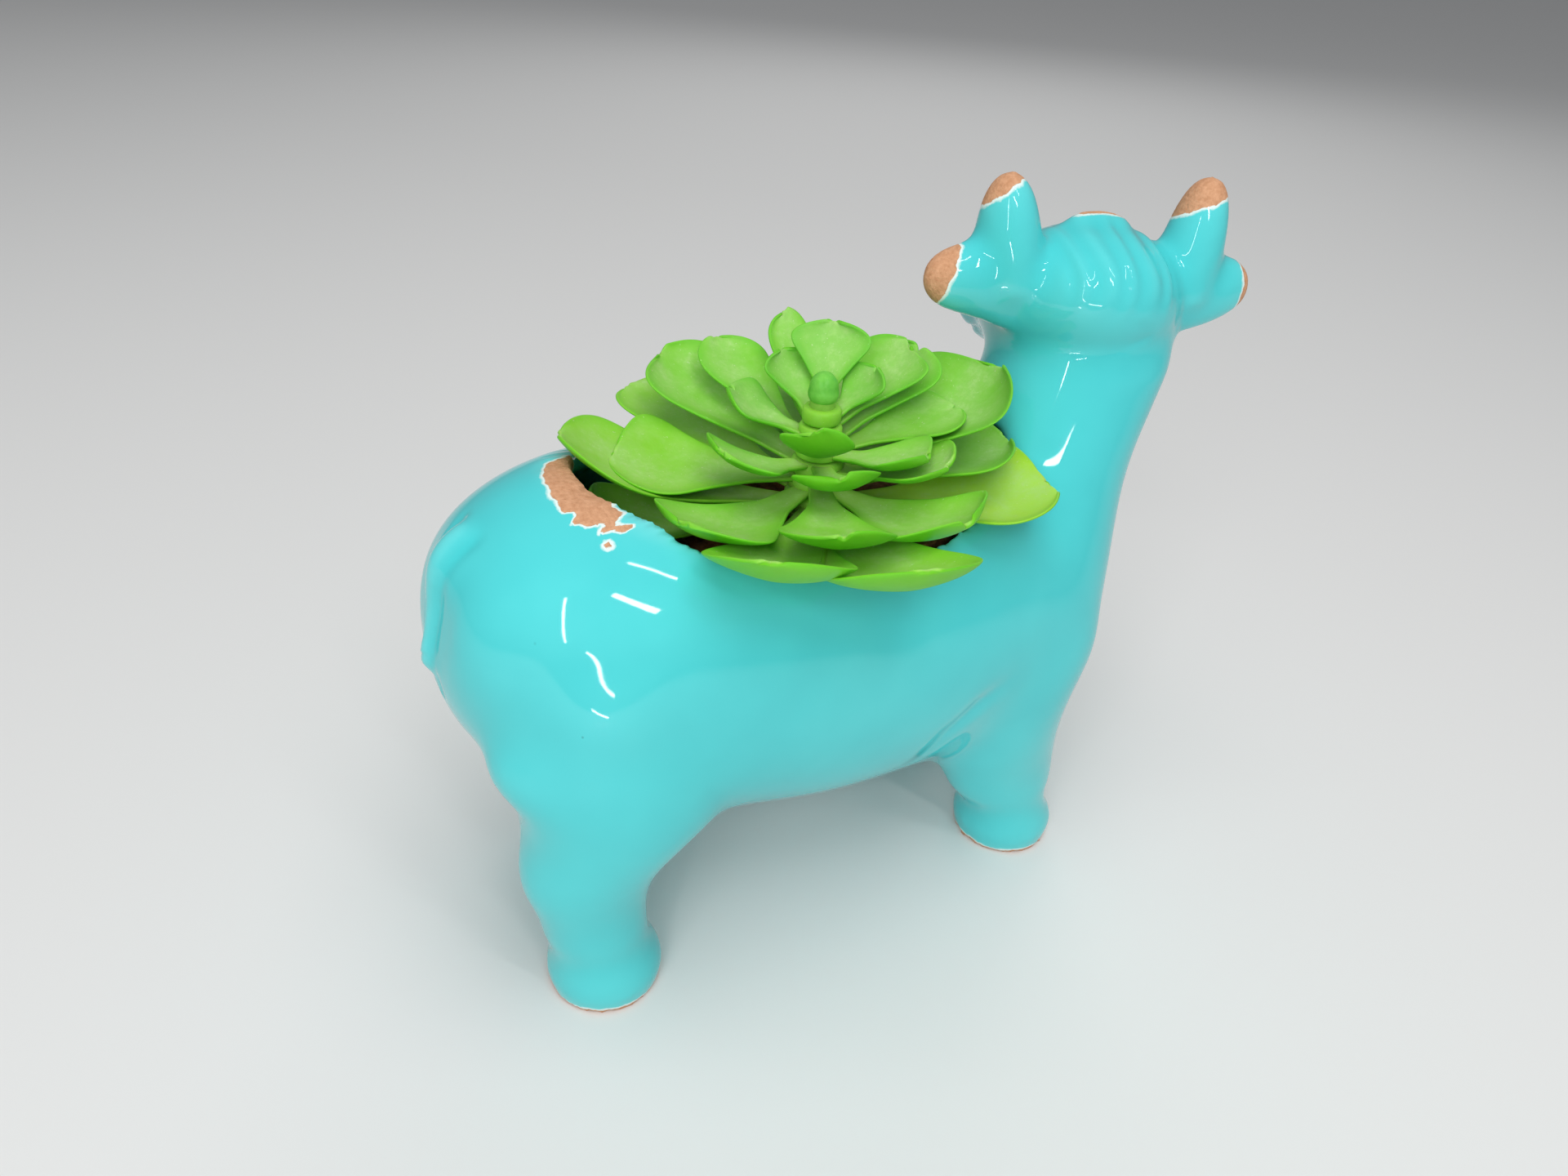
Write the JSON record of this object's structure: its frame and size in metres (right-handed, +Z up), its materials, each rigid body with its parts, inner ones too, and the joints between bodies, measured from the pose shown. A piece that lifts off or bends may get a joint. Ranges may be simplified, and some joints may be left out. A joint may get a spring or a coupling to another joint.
{
  "type": "animal shaped planter",
  "caption": "Small glazed earthenware planter shaped as a standing bull with its head turned, its open back filled with foam that holds a pull-out artificial succulent.",
  "frame": {"origin": "middle of the whole object's box, at the level the hooves stand on", "axes": "+X the way the trunk faces, +Y the animal's left, +Z up"},
  "size_m": [0.187, 0.0984, 0.1531],
  "materials": {
    "glaze": "gloss",
    "foam": "matte",
    "stem": "satin",
    "wire": "satin",
    "leaf": "satin"
  },
  "bodies": {
    "planter": {"planter_body": "glaze", "foam_block": "foam"},
    "plant": {"stem_sleeve": "stem", "stem_wire": "wire", "leaf_whorl_1": "leaf", "leaf_whorl_2": "leaf", "leaf_whorl_3": "leaf", "leaf_whorl_4": "leaf", "leaf_whorl_5": "leaf", "leaf_whorl_6": "leaf", "crown_bud": "leaf"}
  },
  "joints": [
    {"name": "stem_pull_out", "type": "slide", "parent": "planter", "child": "plant", "axis": [0, 0, 1], "range_m": [0, 0.04]}
  ]
}
